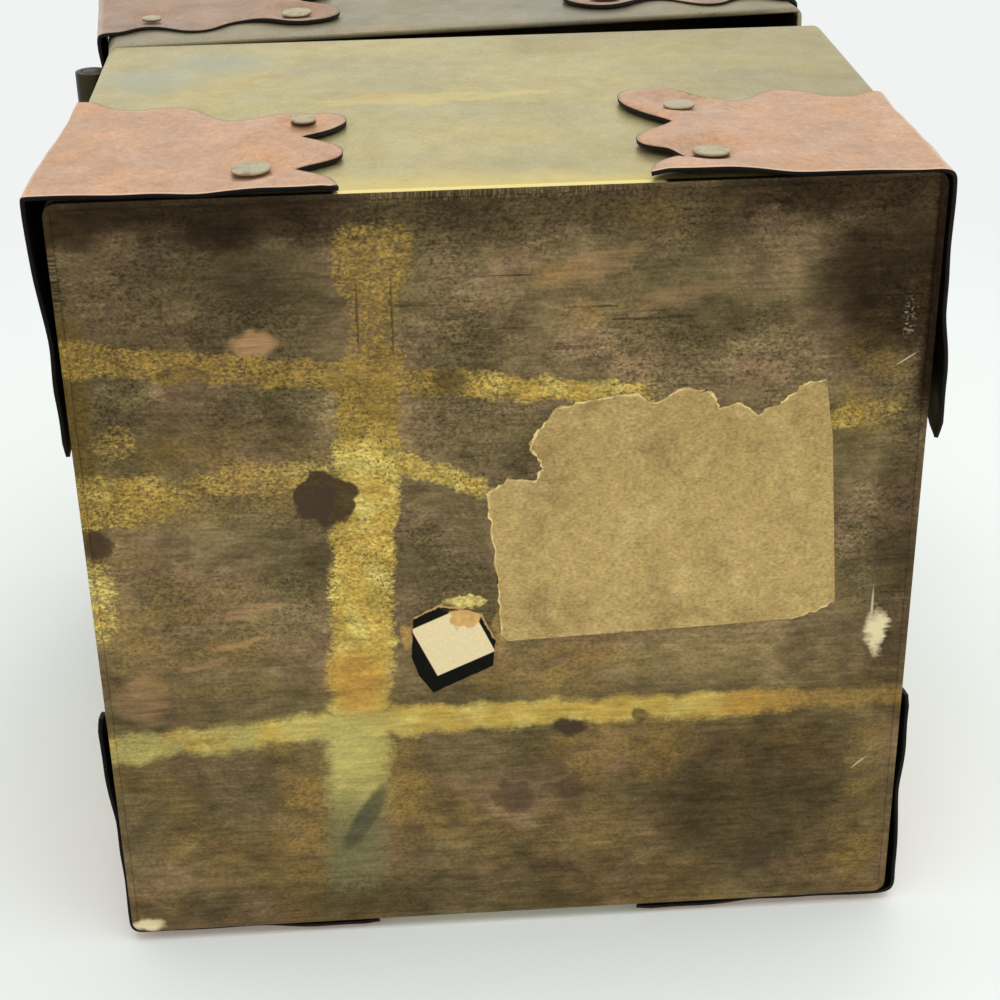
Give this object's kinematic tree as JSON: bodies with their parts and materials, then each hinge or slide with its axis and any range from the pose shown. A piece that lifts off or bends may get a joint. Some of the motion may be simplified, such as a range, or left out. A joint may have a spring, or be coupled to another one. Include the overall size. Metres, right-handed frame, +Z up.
{
  "type": "brass box",
  "caption": "Square sheet-brass box with a lid on a barrel hinge, scalloped copper corner mounts held by flat rivets, and remains of a paper label under the base.",
  "frame": {"origin": "middle of the base, on the plane of the lower edge of the walls", "axes": "+Z up from the base to the lid, +Y towards the back wall with the hinge, +X to the right seen from the front"},
  "size_m": [0.1018, 0.1056, 0.1155],
  "materials": {
    "brass": "old hammered sheet, tarnished olive and brown with worn bright edges",
    "copper": "worn copper sheet, pinkish orange with brown in the hollows",
    "rivet_brass": "dull olive brass, hammered flat",
    "label_paper": "torn brown paper, matte",
    "sticker_paper": "cream paper with a dark border, matte"
  },
  "bodies": {
    "body": {"body_walls": "brass", "base_plate": "brass", "hinge_leaf_body": "brass", "hinge_pin": "brass", "paper_label": "label_paper", "small_sticker": "sticker_paper", "body_mount_front_left": "copper", "body_mount_front_right": "copper", "body_mount_back_right": "copper", "body_mount_back_left": "copper", "body_rivets_front_left": "rivet_brass", "body_rivets_front_right": "rivet_brass", "body_rivets_back_right": "rivet_brass", "body_rivets_back_left": "rivet_brass"},
    "lid": {"lid_walls": "brass", "lid_top": "brass", "hinge_leaf_lid": "brass", "lid_mount_front_left": "copper", "lid_mount_front_right": "copper", "lid_mount_back_right": "copper", "lid_mount_back_left": "copper", "lid_rivets_front_left": "rivet_brass", "lid_rivets_front_right": "rivet_brass", "lid_rivets_back_right": "rivet_brass", "lid_rivets_back_left": "rivet_brass"}
  },
  "joints": [
    {"name": "lid_hinge", "type": "hinge", "parent": "body", "child": "lid", "pos_m": [0, 0.05255, 0.06685], "axis": [-1, 0, 0], "range_deg": [-6, 174]}
  ]
}
